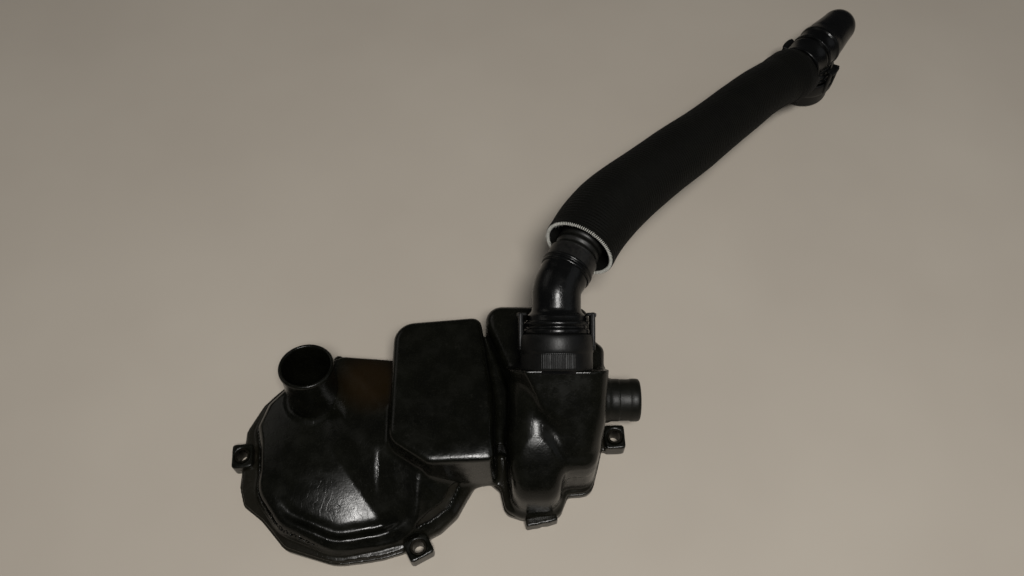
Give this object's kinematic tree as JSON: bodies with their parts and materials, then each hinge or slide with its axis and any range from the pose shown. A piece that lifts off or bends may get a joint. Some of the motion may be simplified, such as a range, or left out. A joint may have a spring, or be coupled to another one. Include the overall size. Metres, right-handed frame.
{
  "type": "oil separator",
  "caption": "Moulded crankcase oil separator with an inlet stub, a side port and a sleeved breather hose that ends in quick connectors.",
  "frame": {"origin": "on the engine face, between the bowl and the middle box", "axes": "+X along the housing towards the side port, +Y up when fitted, +Z out of the engine"},
  "size_m": [0.4268, 0.4045, 0.1053],
  "materials": {
    "moulding": "satin moulded, oily",
    "connector_plastic": "satin moulded",
    "seal_rubber": "matte",
    "hose_rubber": "satin",
    "sleeve_textile": "woven, ribbed",
    "steel": "plated",
    "clamp_steel": "black coated",
    "inner_plastic": "oily",
    "fleece": "oil-soaked felt"
  },
  "bodies": {
    "housing": {"front_housing": "moulding", "rear_cover": "moulding", "rear_gasket": "seal_rubber", "drain_seal": "seal_rubber", "bush_left": "steel", "bush_bottom": "steel", "bush_right": "steel", "baffle_insert": "inner_plastic", "nozzle_plate": "inner_plastic", "fleece_pad": "fleece", "cyclone_insert": "inner_plastic", "vortex_tube": "inner_plastic", "drain_valve_seat": "inner_plastic", "bypass_valve_guide": "inner_plastic", "bypass_valve_spring": "steel", "near_connector": "connector_plastic", "near_release_ring": "connector_plastic", "near_seal": "seal_rubber", "near_clamp": "clamp_steel", "hose": "hose_rubber", "sleeve": "sleeve_textile", "far_connector": "connector_plastic", "far_release_ring": "connector_plastic", "far_seal": "seal_rubber", "far_clamp": "clamp_steel"},
    "bypass_plate": {"bypass_valve_plate": "inner_plastic"},
    "drain_disc": {"drain_valve_disc": "seal_rubber"}
  },
  "joints": [
    {"name": "bypass_lift", "type": "slide", "parent": "housing", "child": "bypass_plate", "axis": [0, 0, 1], "range_m": [0, 0.004], "stiffness_N_per_m": 60, "springref_m": -0.004, "deforming": ["bypass_valve_spring"]},
    {"name": "drain_lift", "type": "slide", "parent": "housing", "child": "drain_disc", "axis": [0, 0, 1], "range_m": [0, 0.002]}
  ]
}
